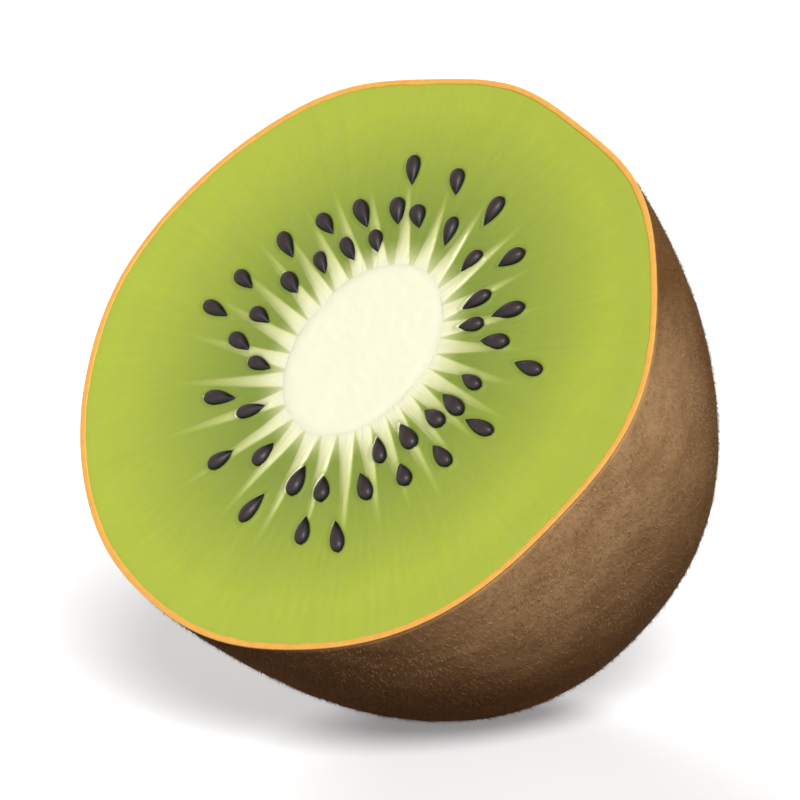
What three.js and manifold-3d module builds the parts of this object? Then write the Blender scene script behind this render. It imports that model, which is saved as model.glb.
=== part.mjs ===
// Half a kiwi fruit, cut across its middle and lying on its round side.
// Millimetres, +Z up. The cut face looks to -Y and up, and the origin is the middle of
// the small flat spot that the fruit rests on.
//
// The solids are worked out in the fruit's own frame: its axis is Z, the skin's cut edge
// lies in the plane z = 0, and the blossom end is at z = -FRUIT_DEPTH. One group then
// turns that frame into the pose in which the fruit lies.
import * as THREE from 'three';
import { mergeVertices } from 'three/addons/utils/BufferGeometryUtils.js';
import Module from 'manifold-3d';

const wasm = await Module();
wasm.setup();

// ---- the whole fruit ----
const FRUIT_RADIUS = 25; // at the cut, without its waves
const FRUIT_DEPTH = 35.6; // from the cut to the blossom end
const SIDE_POWERS = { along: 1.9, across: 3 }; // how bluntly the side rounds off
// Waves that run round the fruit: how many, how high, and where one peaks.
const OUTLINE_WAVES = [ // they make the cut's outline a little angular
  { count: 2, amount: 0.043, peak: 89 },
  { count: 3, amount: 0.152, peak: 20.2 },
  { count: 4, amount: 0.031, peak: 14.3 },
  { count: 6, amount: 0.106, peak: -4.3 },
  { count: 7, amount: 0.028, peak: -7.4 },
  { count: 8, amount: 0.125, peak: -9.5 },
  { count: 9, amount: 0.07, peak: -3.4 },
  { count: 10, amount: 0.05, peak: 6 },
  { count: 11, amount: 0.024, peak: 10.5 },
  { count: 12, amount: 0.029, peak: -10.9 },
];
const SIDE_WAVES = [ // they make the side uneven, most of all halfway down
  { count: 1, amount: 0.37, peak: -157.6 },
  { count: 2, amount: 1.03, peak: -27.1 },
  { count: 3, amount: 0.65, peak: 38.2 },
];
const FACE_LOOKS_UP = 36; // degrees from level that the cut face looks up
const SPOT_DEPTH = 0.3; // how much of the round side the resting spot takes away

// ---- the cut edge and the face ----
const SKIN_EDGE_WIDTH = 0.48;
const SKIN_EDGE_ROUND = 0.08; // the small bevel on both sides of the edge
const FLESH_SINK = 0.2; // the flesh lies this much below the skin's edge

// ---- the core ----
const CORE_HALF_LENGTH = 7.9; // half axes of its oval section at the cut
const CORE_HALF_WIDTH = 6.2;
const CORE_TURN = 70; // degrees from +X to the long axis
const CORE_CENTRE = { x: 0, y: 0.49 };
const CORE_DEPTH = 30; // how far it reaches down from the cut
const CORE_POWERS = { along: 1.7, across: 1.6 };
const CORE_TOP = -0.1; // it stands a little higher than the flesh
const CORE_GAP = 0.3; // clear space between the core and the flesh
const POCKET_TOP = 1; // the tool that cuts the core's pocket starts this far above the cut

const LEANS = [ // degrees that rays and seeds lean off the line from the core's centre
  { count: 1, amount: 10.8, peak: 41 },
  { count: 2, amount: 13.8, peak: 94 },
];

// ---- the pale rays ----
const RAY_COUNT = 29;
const RAY_START = 15.1; // degrees from +X to the first ray
const RAY_CROWD = [{ count: 1, amount: 7, peak: 222 }]; // degrees that rays stray from even places
const RAY_REACH = 8.5; // from the core's edge to a ray's tip
const RAY_REACH_SLANT = { amount: 1, towards: 229 }; // longer on one side of the core
const RAY_REACH_SPREAD = { step: 0.618, amount: 1.4 }; // unevenness of the rays' lengths
const RAY_ROOT = 0.5; // how far inside the core's edge a ray starts
const RAY_WIDTH = 1.38; // at its root
const RAY_HEIGHT = 0.16; // at its root, falling to nothing at the tip
const RAY_SINK = 0.02; // its widest level lies this much below the flesh

// ---- the seeds ----
const SEED_COUNT = 43;
// Each range is covered by a step that is wrapped round as the seeds are counted, evenly or,
// with a power above 1, more often near its least value.
const SEED_LENGTH = { least: 2.15, most: 2.95, step: 0.73 };
const SEED_WIDTH = { least: 1.15, most: 1.4, step: 0.447 };
const SEED_THICKNESS = 0.8; // as a share of its width
const SEED_SINK = 0.08; // its middle lies this much below the flesh
const SEED_BAND = { least: 2.3, most: 8.8, step: 0.5464, first: 0.414, power: 1.4 }; // off the core
const SEED_START = -8.9; // degrees from +X to the first seed
const SEED_SWAY = { least: -0.42, most: 0.42, step: 0.103, first: 0.69 }; // of the even spacing
const SEED_CROWD = [ // degrees that seeds stray from even places
  { count: 1, amount: 5.6, peak: -46 },
  { count: 2, amount: 5.6, peak: 77 },
];
const SEED_TWIST = { least: -10, most: 10, step: 0.17 }; // degrees, on top of the lean

// ---- the blossom end ----
const BUTTON_RADIUS = { foot: 2.75, top: 2.0 };
const BUTTON_ROOT = 1; // how far its foot is buried in the fruit
const BUTTON_HEIGHT = 0.55;
const BUTTON_PIT_RADIUS = { floor: 0.66, mouth: 1.1 };
const BUTTON_PIT_DEPTH = 0.3;
const BUTTON_TURN = 1.3; // degrees that its edges are turned past those of the fruit

// ---- fineness ----
const FRUIT_SEGMENTS = 100;
const FRUIT_RINGS = 24;
const CORE_SEGMENTS = 48;
const CORE_RINGS = 9;
const BUTTON_SEGMENTS = 20;
const SEED_SEGMENTS = 6;
const SEED_RINGS = [0.34, 0.7, 0.93]; // shares of a seed's length, from its tip
const SMALLEST_DETAIL = 0.01; // slivers thinner than this are merged away

const COLOURS = { flesh: 0xb0c04c, core: 0xfffde0 };

const radians = THREE.MathUtils.degToRad;
const wrapped = (value) => value - Math.floor(value);

// The value that a counted seed takes from a range.
function pick(range, index) {
  const share = wrapped(index * range.step + (range.first ?? 0)) ** (range.power ?? 1);
  return range.least + (range.most - range.least) * share;
}

// The height at an angle of a sum of waves that run round the fruit.
function waves(list, angle) {
  const heights = list.map(
    ({ count, amount, peak }) => amount * Math.cos(count * (angle - radians(peak))),
  );
  return heights.reduce((total, height) => total + height, 0);
}

// Half width, as a share of the widest, of a round body at a share of its depth.
function taper(share, powers) {
  return (1 - share ** powers.along) ** (1 / powers.across);
}

// Shares of a body's depth whose rings are evenly spaced along its side, tip last.
function evenRings(count, radius, depth, powers) {
  const fine = 400;
  const side = new THREE.Path();
  side.moveTo(radius, 0);
  for (let i = 1; i <= fine; i += 1) {
    const share = 1 - (1 - i / fine) ** 3; // crowds toward the blunt tip
    side.lineTo(radius * taper(share, powers), depth * share);
  }
  return side.getSpacedPoints(count).map((point) => point.y / depth);
}

// A closed body of revolution about Z from points of (radius, height), lowest first.
function turned(points, segments) {
  const profile = points.map(([radius, height]) => new THREE.Vector2(radius, height));
  return new THREE.LatheGeometry(profile, segments).rotateX(Math.PI / 2);
}

function solidOf(geometry) {
  const bare = geometry.clone();
  bare.deleteAttribute('normal');
  bare.deleteAttribute('uv');
  const merged = mergeVertices(bare);
  const triVerts = [];
  for (let i = 0; i < merged.index.count; i += 3) {
    const corners = [0, 1, 2].map((k) => merged.index.getX(i + k));
    if (new Set(corners).size === 3) triVerts.push(...corners); // drops the slits at a pole
  }
  return new wasm.Manifold(new wasm.Mesh({
    numProp: 3,
    vertProperties: merged.attributes.position.array,
    triVerts: Uint32Array.from(triVerts),
  }));
}

function meshOf(name, solid, colour, roughness) {
  const { vertProperties, triVerts } = solid.getMesh();
  const geometry = new THREE.BufferGeometry();
  geometry.setAttribute('position', new THREE.BufferAttribute(vertProperties, 3));
  geometry.setIndex(new THREE.BufferAttribute(triVerts, 1));
  geometry.computeVertexNormals();
  const material = new THREE.MeshStandardMaterial({ color: colour, roughness, metalness: 0 });
  const mesh = new THREE.Mesh(geometry, material);
  mesh.name = name;
  return mesh;
}

// How much the waves widen the fruit at an angle and a share of its depth. Those of the
// outline fade to the blossom end.
function waviness(angle, share) {
  const outline = waves(OUTLINE_WAVES, angle) * (1 - share ** 2);
  const side = waves(SIDE_WAVES, angle) * 4 * share * (1 - share);
  return 1 + (outline + side) / FRUIT_RADIUS;
}

// Distance from the core's centre to its edge, at an angle from +X.
function coreEdge(angle) {
  const turn = angle - radians(CORE_TURN);
  return 1 / Math.hypot(Math.cos(turn) / CORE_HALF_LENGTH, Math.sin(turn) / CORE_HALF_WIDTH);
}

// The fruit's body: skin side, skin's edge and the plain face.
function fruitBody() {
  const rings = evenRings(FRUIT_RINGS, FRUIT_RADIUS, FRUIT_DEPTH, SIDE_POWERS);
  const side = rings.map((share) => [FRUIT_RADIUS * taper(share, SIDE_POWERS), -FRUIT_DEPTH * share]);
  side.reverse();
  side[0][0] = 0;
  side.pop(); // the rim itself is bevelled
  const inner = FRUIT_RADIUS - SKIN_EDGE_WIDTH;
  const rim = [
    [FRUIT_RADIUS, -SKIN_EDGE_ROUND],
    [FRUIT_RADIUS - SKIN_EDGE_ROUND, 0],
    [inner + SKIN_EDGE_ROUND, 0],
    [inner, -FLESH_SINK],
    [0, -FLESH_SINK],
  ];
  const body = turned([...side, ...rim], FRUIT_SEGMENTS);
  const place = body.attributes.position;
  for (let i = 0; i < place.count; i += 1) {
    const share = Math.max(0, -place.getZ(i) / FRUIT_DEPTH);
    const widen = waviness(Math.atan2(place.getY(i), place.getX(i)), share);
    place.setXY(i, place.getX(i) * widen, place.getY(i) * widen);
  }
  return solidOf(body);
}

// The core's column from its top down, grown outward by a clearance for the pocket.
function coreColumn(top, clearance) {
  const rings = evenRings(CORE_RINGS, 1, CORE_DEPTH / CORE_HALF_WIDTH, CORE_POWERS);
  const points = rings.map((share) => [taper(share, CORE_POWERS), -share]);
  points.reverse();
  points[0][0] = 0;
  const reach = CORE_DEPTH + clearance;
  const column = turned([...points, [1, top / reach], [0, top / reach]], CORE_SEGMENTS);
  column.scale(CORE_HALF_LENGTH + clearance, CORE_HALF_WIDTH + clearance, reach);
  column.rotateZ(radians(CORE_TURN));
  column.translate(CORE_CENTRE.x, CORE_CENTRE.y, 0);
  return column;
}

// One pale ray: a low ridge that starts inside the pocket's wall and runs out to a point.
function ray(index) {
  const even = radians(RAY_START + (360 / RAY_COUNT) * index);
  const angle = even + radians(waves(RAY_CROWD, even));
  const slant = Math.cos(angle - radians(RAY_REACH_SLANT.towards)) * RAY_REACH_SLANT.amount;
  const spread = (wrapped(index * RAY_REACH_SPREAD.step) - 0.5) * RAY_REACH_SPREAD.amount;
  const length = RAY_REACH + slant + spread;
  const ridge = new THREE.ConeGeometry(1, 1, 4).translate(0, 0.5, 0); // base at 0, tip at y = 1
  ridge.scale(RAY_WIDTH / 2, RAY_ROOT + length, RAY_HEIGHT);
  ridge.translate(0, -RAY_ROOT, 0);
  ridge.rotateZ(angle + radians(waves(LEANS, angle)) - Math.PI / 2);
  const start = coreEdge(angle);
  ridge.translate(
    CORE_CENTRE.x + start * Math.cos(angle),
    CORE_CENTRE.y + start * Math.sin(angle),
    -FLESH_SINK - RAY_SINK,
  );
  return solidOf(ridge);
}

// One seed: a teardrop, its tip about toward the core, sunk a little past its middle.
function seed(index) {
  const even = radians(SEED_START + (360 / SEED_COUNT) * (index + pick(SEED_SWAY, index)));
  const angle = even + radians(waves(SEED_CROWD, even));
  const length = pick(SEED_LENGTH, index);
  const width = pick(SEED_WIDTH, index);
  const widest = (2 / 3) * Math.sqrt(1 / 3); // of the curve share * sqrt(1 - share)
  const side = SEED_RINGS.map((share) => [
    (share * Math.sqrt(1 - share)) / widest,
    share - 0.5,
  ]);
  const drop = turned([[0, -0.5], ...side, [0, 0.5]], SEED_SEGMENTS); // tip down Z
  drop.rotateY(Math.PI / 2); // tip toward the core, along -X
  drop.scale(length, width / 2, (width / 2) * SEED_THICKNESS);
  drop.rotateZ(angle + radians(waves(LEANS, angle) + pick(SEED_TWIST, index)));
  const reach = coreEdge(angle) + pick(SEED_BAND, index);
  drop.translate(
    CORE_CENTRE.x + reach * Math.cos(angle),
    CORE_CENTRE.y + reach * Math.sin(angle),
    -FLESH_SINK - SEED_SINK,
  );
  return solidOf(drop);
}

// The low button at the blossom end, with a pit in its middle.
function blossomButton() {
  const top = -FRUIT_DEPTH - BUTTON_HEIGHT;
  const root = -FRUIT_DEPTH + BUTTON_ROOT;
  const profile = [
    [0, top + BUTTON_PIT_DEPTH],
    [BUTTON_PIT_RADIUS.floor, top + BUTTON_PIT_DEPTH],
    [BUTTON_PIT_RADIUS.mouth, top],
    [BUTTON_RADIUS.top, top],
    [BUTTON_RADIUS.foot, root],
    [0, root],
  ];
  return solidOf(turned(profile, BUTTON_SEGMENTS).rotateZ(radians(BUTTON_TURN)));
}

// The pose: the fruit lies on the lowest point of its side, under the -Y side of the face.
function restingPose() {
  const lean = radians(90 - FACE_LOOKS_UP);
  let contact = { drop: 0 };
  const steps = { angle: 180, share: 1000 };
  for (let i = 0; i <= steps.angle; i += 1) {
    const angle = -Math.PI * (i / steps.angle);
    for (let j = 0; j <= steps.share; j += 1) {
      const share = j / steps.share;
      const radius = FRUIT_RADIUS * taper(share, SIDE_POWERS) * waviness(angle, share);
      const depth = FRUIT_DEPTH * share;
      const across = radius * Math.cos(angle);
      const down = -radius * Math.sin(angle);
      const drop = down * Math.sin(lean) + depth * Math.cos(lean);
      const back = depth * Math.sin(lean) - down * Math.cos(lean);
      if (drop > contact.drop) contact = { across, back, drop };
    }
  }
  const pose = new THREE.Group();
  pose.rotation.x = lean;
  pose.position.set(-contact.across, -contact.back, contact.drop - SPOT_DEPTH);
  pose.updateMatrix();
  return pose;
}

// Everything below the ground, in the fruit's own frame.
function ground(pose) {
  const side = 4 * FRUIT_RADIUS;
  const block = new THREE.BoxGeometry(side, side, side).translate(0, 0, -side / 2);
  return solidOf(block.applyMatrix4(pose.matrix.clone().invert()));
}

function buildFlesh(pose) {
  let flesh = fruitBody().add(blossomButton());
  for (let i = 0; i < RAY_COUNT; i += 1) flesh = flesh.add(ray(i));
  for (let i = 0; i < SEED_COUNT; i += 1) flesh = flesh.add(seed(i));
  flesh = flesh.subtract(solidOf(coreColumn(POCKET_TOP, CORE_GAP)));
  return flesh.simplify(SMALLEST_DETAIL).subtract(ground(pose));
}

const pose = restingPose();
pose.add(meshOf('flesh', buildFlesh(pose), COLOURS.flesh, 0.35));
pose.add(meshOf('core', solidOf(coreColumn(CORE_TOP, 0)), COLOURS.core, 0.45));

const group = new THREE.Group();
group.add(pose);

export default group;
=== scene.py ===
"""Half a kiwi fruit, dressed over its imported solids.

Everything is worked out in the fruit's own frame, in millimetres: its axis is Z, the skin's
cut edge lies in the plane z = 0, +X runs across the cut face, +Y up it, and the blossom end
is at z = -FRUIT_DEPTH. pose() then turns that frame into the one in which the fruit lies.
"""

import math

import bpy
import numpy as np
from bpy.props import FloatProperty, FloatVectorProperty, IntProperty, PointerProperty
from mathutils import Matrix, Vector


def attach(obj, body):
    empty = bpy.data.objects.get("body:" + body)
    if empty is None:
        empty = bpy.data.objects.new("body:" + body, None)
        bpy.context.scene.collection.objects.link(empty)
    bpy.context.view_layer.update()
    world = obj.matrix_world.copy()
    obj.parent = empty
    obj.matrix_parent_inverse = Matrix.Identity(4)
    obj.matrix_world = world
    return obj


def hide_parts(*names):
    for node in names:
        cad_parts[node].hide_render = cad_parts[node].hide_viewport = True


bl_info = {
    "name": "Kiwi fruit half",
    "version": (1, 0, 0),
    "blender": (4, 5, 0),
    "location": "View3D > Sidebar > Kiwi",
    "description": "Dresses half a kiwi fruit with skin, fuzz, flesh, core and seeds",
    "category": "Object",
}

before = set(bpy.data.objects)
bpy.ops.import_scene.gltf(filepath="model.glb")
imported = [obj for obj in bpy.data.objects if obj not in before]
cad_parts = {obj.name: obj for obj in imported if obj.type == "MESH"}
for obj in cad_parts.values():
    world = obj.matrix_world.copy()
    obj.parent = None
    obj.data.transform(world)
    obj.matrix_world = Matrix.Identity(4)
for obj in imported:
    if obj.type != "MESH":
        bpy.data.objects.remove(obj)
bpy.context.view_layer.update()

MM = 0.001

# ---- the fruit's form, as its solids have it, mm and degrees ----
FRUIT_RADIUS = 25.0
FRUIT_DEPTH = 35.6
SIDE_ALONG, SIDE_ACROSS = 1.9, 3.0
# Waves round the fruit: how many, how high, and where one peaks.
OUTLINE_WAVES = (
    (2, 0.043, 89.0), (3, 0.152, 20.2), (4, 0.031, 14.3), (6, 0.106, -4.3), (7, 0.028, -7.4),
    (8, 0.125, -9.5), (9, 0.07, -3.4), (10, 0.05, 6.0), (11, 0.024, 10.5), (12, 0.029, -10.9),
)
SIDE_WAVES = ((1, 0.37, -157.6), (2, 1.03, -27.1), (3, 0.65, 38.2))
FACE_LOOKS_UP = 36.0
SPOT_DEPTH = 0.3
FLESH_SINK = 0.2

CORE_HALF_LENGTH, CORE_HALF_WIDTH = 7.9, 6.2
CORE_TURN = 70.0
CORE_X, CORE_Y = 0.0, 0.49
CORE_DEPTH = 30.0
CORE_ALONG, CORE_ACROSS = 1.7, 1.6
CORE_TOP = -0.1
CORE_LAP = 0.4  # how far the flesh runs on under the core's rim
CORE_COLLAR = 0.05  # how much the flesh rises to meet that rim
CORE_COLLAR_WIDTH = 0.9
CORE_RIM = 0.25  # how far the rim reaches over the flesh as it dips into it
CORE_RIM_DIP = 0.06

# These waves make the rays and the seeds lean, by degrees, off the line from the core's centre.
LEANS = ((1, 10.8, 41.0), (2, 13.8, 94.0))

RAY_COUNT = 29
RAY_START = 15.1
RAY_CROWD = ((1, 7.0, 222.0),)
RAY_REACH = 8.5
RAY_SLANT, RAY_SLANT_TOWARDS = 1.0, 229.0
RAY_SPREAD_STEP, RAY_SPREAD = 0.618, 1.4
RAY_ROOT = 0.5
RAY_WIDTH = 1.38
RAY_HEIGHT = 0.098  # lower than the solids', so that it catches less light
RAY_FADE = 1.18  # how far a ray's paleness runs, as a share of its ridge
RAY_PALENESS = 1.75  # the power by which that paleness falls

SEED_COUNT = 43
SEED_START = -8.9
SEED_CROWD = ((1, 5.6, -46.0), (2, 5.6, 77.0))
SEED_SINK = 0.08
SEED_THICKNESS = 0.8
# Each range is covered by a wrapped step: (least, most, step, first, power).
SEED_LENGTH = (2.15, 2.95, 0.73, 0.0, 1.0)
SEED_WIDTH = (1.15, 1.4, 0.447, 0.0, 1.0)
SEED_BAND = (2.3, 8.8, 0.5464, 0.414, 1.4)
SEED_SWAY = (-0.42, 0.42, 0.103, 0.69, 1.0)
SEED_TWIST = (-10.0, 10.0, 0.17, 0.0, 1.0)

# The flesh's relief, mm.
SEED_LIP, SEED_LIP_OUT, SEED_LIP_WIDTH = 0.07, 0.12, 0.14  # round every seed
SEED_POCKET_DEPTH = 0.28
RIM_RISE, RIM_RISE_WIDTH = 0.14, 2.6  # toward the skin's cut edge
RIM_TUCK, RIM_TUCK_DROP = 0.07, 0.03  # how the flesh runs on under that edge

# Places on the cut, mm beyond the core's edge.
LOCULES_FROM, LOCULES_TO = (0.6, 2.5), (8.5, 12.5)  # where they set in and where they end
HALO_START, HALO_END, HALO_POWER = -0.75, 2.4, 1.6  # where the core's paleness fades out
DEEP_END, LIGHT_START, LIGHT_POWER = 3.6, 14.2, 1.1  # from the deep green to the light one

# Random relief: height, size of the bumps, number of the draw, octaves where they aren't three.
FLESH_BUMPS, FLESH_STREAKS = (0.03, 6.0, 11), (0.012, 2.2, 12, 2)
CORE_BUMPS, CORE_GRAIN = (0.022, 4.5, 21), (0.008, 0.9, 22, 2)
SKIN_BUMPS, SKIN_SWELLS = (0.6, 3.2, 31), (0.4, 9.0, 32, 2)  # heights as shares of the skin's
EDGE_WOBBLE, EDGE_LIFT = (0.03, 2.6, 41), (0.012, 4.0, 42, 2)

# Painted shade on the skin: darker toward the blossom end, a little just under the cut,
# and on some flanks. Depths are shares of the fruit's. A flank has its angle round the fruit,
# the cosines from it between which the painted shade sets in, and how much there is at the cut
# and further down.
PAINTED_SHADE_START, PAINTED_SHADE_FULL = 0.1, 0.75
PAINTED_SHADE_AT_CUT, PAINTED_SHADE_AT_CUT_DEPTH = 0.12, 0.05
PAINTED_SHADE_FURTHER_DOWN = 0.2
PAINTED_SHADE_FLANKS = (
    (135.0, -0.8, 0.0, 1.0, 1.0),
    (170.0, -1.0, -0.5, 0.5, 0.45),
    (135.0, -0.95, -0.3, 0.5, 0.0),
)
SKIN_START = 0.26  # how far below the cut the skin sets in
SKIN_LIP = ((0.25, -0.3), (0.12, -0.23), (0.05, -0.2))  # its hidden lip: inset, height
PUCKERS, PUCKER_HEIGHT = 19, 0.1  # round the blossom end
PUCKER_RADIUS, PUCKER_WIDTH = 3.4, 1.3

BUTTON_TOP_RADIUS = 2.0
BUTTON_HEIGHT = 0.55
BUTTON_PIT_DEPTH = 0.3
BUTTON_ROOT = 0.8
THREADS, THREAD_WIDTH = 60, 0.12  # dried threads of the flower
GOLDEN_TURN = 0.6180339887  # spreads counted pieces evenly round the fruit

# ---- the view ----
VIEW_AZIMUTH, VIEW_ELEVATION = 32.27, 10.61
VIEW_DISTANCE = 345.0  # from the middle of the cut face
VIEW_RIGHT, VIEW_UP = 3.113, -3.545  # the camera's offset from that middle
VIEW_LENS = 200.3


def colour(red, green, blue):
    """A display colour of 0 to 255 as Blender's linear one."""
    shares = [value / 255 for value in (red, green, blue)]
    linear = [s / 12.92 if s <= 0.04045 else ((s + 0.055) / 1.055) ** 2.4 for s in shares]
    return tuple(linear)


# Second colours of the paints.
HALO_TINT = colour(255, 254, 196)  # between the green and the core's cream
RAY_TINT = colour(255, 254, 150)
CORE_PATCH = colour(244, 241, 196)
EDGE_FLECK = colour(214, 146, 62)
PORE = colour(70, 48, 31)
HAIR_TIP = colour(234, 202, 158)
# the second seed colour is a painted shade: near black below each seed's crown
SEED_BROWN, SEED_PAINTED_SHADE = colour(64, 48, 44), colour(10, 7, 8)
DRY_FLECK = colour(104, 74, 47)
PAINTED_SHADE_COLOUR = (0.38, 0.3, 0.21)  # what the most shaded skin is multiplied by, a painted shade


def length_property(label, about, default, most):
    """A length that a user may change, given here in millimetres."""
    return FloatProperty(
        name=label, description=about, default=default * MM, min=0.0, max=most * MM,
        subtype="DISTANCE", precision=5,
    )


def colour_property(label, about, default):
    """A colour that a user may change."""
    return FloatVectorProperty(
        name=label, description=about, default=default, min=0.0, max=1.0, size=3, subtype="COLOR"
    )


class KiwiSizes(bpy.types.PropertyGroup):
    """Sizes of what the dressing adds."""

    edge_width: length_property("Skin edge", "Width of the skin's cut edge", 0.48, 2.0)
    hair_length: length_property("Hair length", "Length of the longest hairs", 0.72, 3.0)
    hair_width: length_property("Hair width", "Thickness of a hair at its root", 0.035, 0.3)
    hair_count: IntProperty(
        name="Hairs", description="How many hairs the fuzz has", default=48000, min=0, max=49900
    )
    skin_relief: length_property("Skin relief", "Height of the skin's leathery bumps", 0.05, 0.5)
    locule_depth: length_property("Locules", "How far the flesh sinks between the rays", 0.1, 0.5)


class KiwiColours(bpy.types.PropertyGroup):
    """Colours of the fruit."""

    flesh: colour_property("Flesh", "Outer flesh", colour(179, 194, 66))
    flesh_deep: colour_property("Deep flesh", "Flesh in the ring of seeds", colour(136, 155, 60))
    core: colour_property("Core", "Core and the foot of the rays", colour(255, 254, 224))
    edge: colour_property("Skin edge", "The skin where it is cut", colour(250, 184, 87))
    skin: colour_property("Skin", "Lighter parts of the skin", colour(209, 168, 121))
    skin_dark: colour_property("Skin shade", "Darker parts of the skin", colour(180, 139, 96))
    hair: colour_property("Fuzz", "Hairs of the fuzz", colour(222, 184, 136))
    seed: colour_property("Seeds", "Seed coats", colour(60, 50, 53))
    dry: colour_property("Blossom end", "Dried remains of the flower", colour(52, 34, 22))


# ---- forms ----


def wrapped(value):
    """The part of a number past its whole part."""
    return value - np.floor(value)


def pick(spread, index):
    """The value that a counted piece takes from a range."""
    least, most, step, first, power = spread
    return least + (most - least) * wrapped(index * step + first) ** power


def smooth_step(value, start, end):
    """0 at the start and before it, 1 at the end and past it, smooth between."""
    share = np.clip((value - start) / (end - start), 0, 1)
    return share * share * (3 - 2 * share)


def waves(parts, angle):
    """The height at an angle of a sum of waves that run round the fruit."""
    return sum(height * np.cos(n * (angle - math.radians(peak))) for n, height, peak in parts)


def taper(share, along, across):
    """Half width, as a share of the widest, of a round body at a share of its depth."""
    return np.clip(1 - share**along, 0, None) ** (1 / across)


def waviness(angle, share):
    """How much the waves widen the fruit. Those of the outline fade to the blossom end."""
    side = waves(SIDE_WAVES, angle) * 4 * share * (1 - share)
    return 1 + (waves(OUTLINE_WAVES, angle) * (1 - share**2) + side) / FRUIT_RADIUS


def core_edge(angle):
    """Distance from the core's centre to its edge."""
    turn = angle - math.radians(CORE_TURN)
    return 1 / np.hypot(np.cos(turn) / CORE_HALF_LENGTH, np.sin(turn) / CORE_HALF_WIDTH)


def core_point(angle, beyond=0.0):
    """X and Y of a point at an angle round the core's centre, beyond its edge."""
    reach = core_edge(angle) + beyond
    return CORE_X + reach * np.cos(angle), CORE_Y + reach * np.sin(angle)


def side_point(angle, share, inset=0.0):
    """A point of the skin's side, or of a like side an inset further in."""
    radius = (FRUIT_RADIUS - inset) * taper(share, SIDE_ALONG, SIDE_ACROSS) * waviness(angle, share)
    depth = (FRUIT_DEPTH - inset) * share
    return np.stack([radius * np.cos(angle), radius * np.sin(angle), -depth + 0 * radius], -1)


def side_normal(angle, share):
    """The outward direction of the side at a point, from two short steps along it."""
    step = 1e-3
    low, high = np.clip(share - step, 0, 1), np.clip(share + step, 0, 0.99999)
    around = side_point(angle + step, share) - side_point(angle - step, share)
    along = side_point(angle, high) - side_point(angle, low)
    normal = np.cross(along, around)
    return normal / np.linalg.norm(normal, axis=-1, keepdims=True)


def even_shares(count, radius, depth, along, across, start=0.0):
    """Shares of a body's depth whose rings are evenly spaced along its side."""
    fine = 1 - (1 - np.linspace(0, 1, 2001)) ** 3
    fine = start + (1 - start) * fine
    steps = np.hypot(np.diff(radius * taper(fine, along, across)), np.diff(depth * fine))
    run = np.concatenate([[0], np.cumsum(steps)])
    return np.interp(np.linspace(0, run[-1], count), run, fine)


def pose():
    """The turn and move from the fruit's frame, in mm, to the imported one, in metres."""
    lean = math.radians(90 - FACE_LOOKS_UP)
    angle = np.linspace(0, -math.pi, 181)[:, None]
    across, up, along = np.moveaxis(side_point(angle, np.linspace(0, 1, 1001)), -1, 0)
    drop = -up * math.sin(lean) - along * math.cos(lean)
    back = up * math.cos(lean) - along * math.sin(lean)
    lowest = np.unravel_index(np.argmax(drop), drop.shape)
    place = Vector((-across[lowest], -back[lowest], drop[lowest] - SPOT_DEPTH))
    return Matrix.Scale(MM, 4) @ Matrix.Translation(place) @ Matrix.Rotation(lean, 4, "X")


POSE = pose()


def posed(points):
    """Points of the fruit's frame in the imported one, none below the ground."""
    turn = np.array(POSE.to_3x3())
    moved = points.reshape(-1, 3) @ turn.T + np.array(POSE.translation)
    moved[:, 2] = np.maximum(moved[:, 2], 0.0)
    return moved


# ---- meshes ----


def ring_faces(rings, around, first=0):
    """The four-sided faces between closed rings of points, up where rings widen."""
    row, column = np.meshgrid(np.arange(rings - 1), np.arange(around), indexing="ij")
    beside = (column + 1) % around
    corners = [row * around + column, (row + 1) * around + column]
    corners += [(row + 1) * around + beside, row * around + beside]
    return first + np.stack(corners, -1).reshape(-1, 4)


def cap_faces(pole, ring, first=True):
    """The three-sided faces from the first or the last pole to its ring."""
    beside = np.roll(ring, -1)
    around = (ring, beside) if first else (beside, ring)
    return np.stack([np.full(len(ring), pole), *around], -1)


def closed_rings(start, rings, end):
    """Points and faces of a closed body: a pole, its rings, and the other pole."""
    count, around = rings.shape[:2]
    points = np.concatenate([[start], rings.reshape(-1, 3), [end]])
    last = 1 + (count - 1) * around + np.arange(around)
    faces = ring_faces(count, around, 1).tolist()
    faces += cap_faces(0, 1 + np.arange(around)).tolist()
    faces += cap_faces(len(points) - 1, last, first=False).tolist()
    return points, faces


def add_piece(name, points, faces, material, replaced, marks=None):
    """A smooth mesh of the dressing, riding on the fruit, with its own marks for the paint."""
    mesh = bpy.data.meshes.new(name)
    mesh.from_pydata(posed(points).tolist(), [], faces)
    mesh.update()
    mesh.shade_smooth()
    store(mesh, "fruit", points)
    for key, values in (marks or {}).items():
        store(mesh, key, values)
    mesh.materials.append(material)
    piece = bpy.data.objects.new(name, mesh)
    bpy.context.scene.collection.objects.link(piece)
    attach(piece, "root")
    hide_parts(replaced)


def store(mesh, key, values):
    """Keeps a number or a vector for each point of a mesh."""
    values = np.asarray(values, dtype=np.float32)
    kind, field = ("FLOAT_VECTOR", "vector") if values.ndim == 2 else ("FLOAT", "value")
    mesh.attributes.new(key, kind, "POINT").data.foreach_set(field, values.ravel())


def rough(points, scale, seed, octaves=3):
    """Smooth random heights from about -1 to 1, by sums of waves in random directions."""
    random = np.random.default_rng(seed)
    height = np.zeros(len(points))
    each = 10  # waves in an octave
    for octave in range(octaves):
        for _ in range(each):
            heading = random.normal(size=3)
            heading *= 2**octave / scale * math.tau / np.linalg.norm(heading)
            height += 0.5**octave * np.sin(points @ heading + random.uniform(0, math.tau))
    return height / (each / 2)


def relief(points, height, scale, seed, octaves=3):
    """Random heights, up to about a given one, for a grid of points."""
    grid = points.shape[:-1]
    return height * rough(points.reshape(-1, 3), scale, seed, octaves).reshape(grid)


# ---- paint ----


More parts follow.
